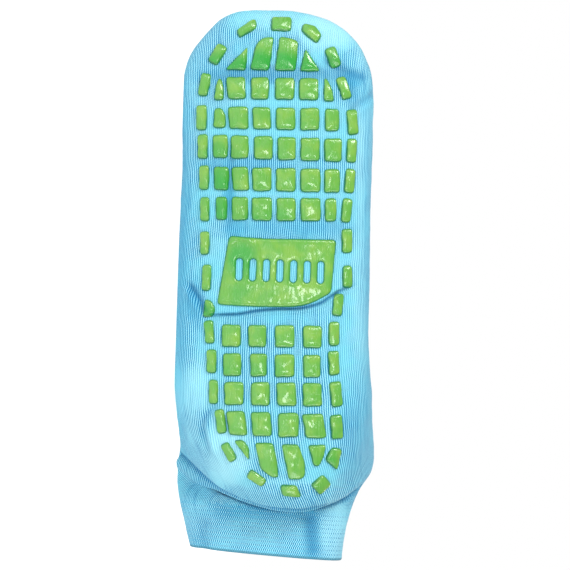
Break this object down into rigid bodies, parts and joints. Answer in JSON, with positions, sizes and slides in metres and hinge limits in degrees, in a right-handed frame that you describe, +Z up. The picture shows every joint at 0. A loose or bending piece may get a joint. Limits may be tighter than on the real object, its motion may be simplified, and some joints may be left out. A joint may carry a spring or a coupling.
{
  "type": "slipper sock",
  "caption": "Knitted ankle slipper sock with a hollow foot, heel pocket and ribbed cuff, and raised rubber grip pads over its sole.",
  "frame": {"origin": "middle of the bounding box on the floor that the sock lies on", "axes": "+X from the toe to the cuff, -Y out of the sole, +Z up"},
  "size_m": [0.2784, 0.0616, 0.1028],
  "materials": {
    "blue_knit": "fine matt knit, ribbed at the cuff",
    "green_grip": "soft glossy printed rubber"
  },
  "bodies": {
    "root": {"knitted_sock": "blue_knit", "grip_panel": "green_grip", "pad_toe_low_wedge": "green_grip", "pad_toe_low_quarter": "green_grip", "pad_toe_high_quarter": "green_grip", "pad_toe_high_wedge": "green_grip", "pad_forefoot_1_low_wedge": "green_grip", "pad_forefoot_1_1": "green_grip", "pad_forefoot_1_2": "green_grip", "pad_forefoot_1_3": "green_grip", "pad_forefoot_1_4": "green_grip", "pad_forefoot_1_high_wedge": "green_grip", "pad_forefoot_2_low_wedge": "green_grip", "pad_forefoot_2_1": "green_grip", "pad_forefoot_2_2": "green_grip", "pad_forefoot_2_3": "green_grip", "pad_forefoot_2_4": "green_grip", "pad_forefoot_2_5": "green_grip", "pad_forefoot_3_1": "green_grip", "pad_forefoot_3_2": "green_grip", "pad_forefoot_3_3": "green_grip", "pad_forefoot_3_4": "green_grip", "pad_forefoot_3_5": "green_grip", "pad_forefoot_3_6": "green_grip", "pad_forefoot_4_1": "green_grip", "pad_forefoot_4_2": "green_grip", "pad_forefoot_4_3": "green_grip", "pad_forefoot_4_4": "green_grip", "pad_forefoot_4_5": "green_grip", "pad_forefoot_4_6": "green_grip", "pad_forefoot_5_1": "green_grip", "pad_forefoot_5_2": "green_grip", "pad_forefoot_5_3": "green_grip", "pad_forefoot_5_4": "green_grip", "pad_forefoot_5_5": "green_grip", "pad_forefoot_5_6": "green_grip", "pad_heel_1_1": "green_grip", "pad_heel_1_2": "green_grip", "pad_heel_1_3": "green_grip", "pad_heel_1_4": "green_grip", "pad_heel_2_1": "green_grip", "pad_heel_2_2": "green_grip", "pad_heel_2_3": "green_grip", "pad_heel_2_4": "green_grip", "pad_heel_3_1": "green_grip", "pad_heel_3_2": "green_grip", "pad_heel_3_3": "green_grip", "pad_heel_3_4": "green_grip", "pad_heel_4_1": "green_grip", "pad_heel_4_2": "green_grip", "pad_heel_4_3": "green_grip", "pad_heel_4_4": "green_grip", "pad_heel_5_low_wedge": "green_grip", "pad_heel_5_low_long": "green_grip", "pad_heel_5_high_long": "green_grip", "pad_heel_5_high_wedge": "green_grip"}
  },
  "joints": []
}
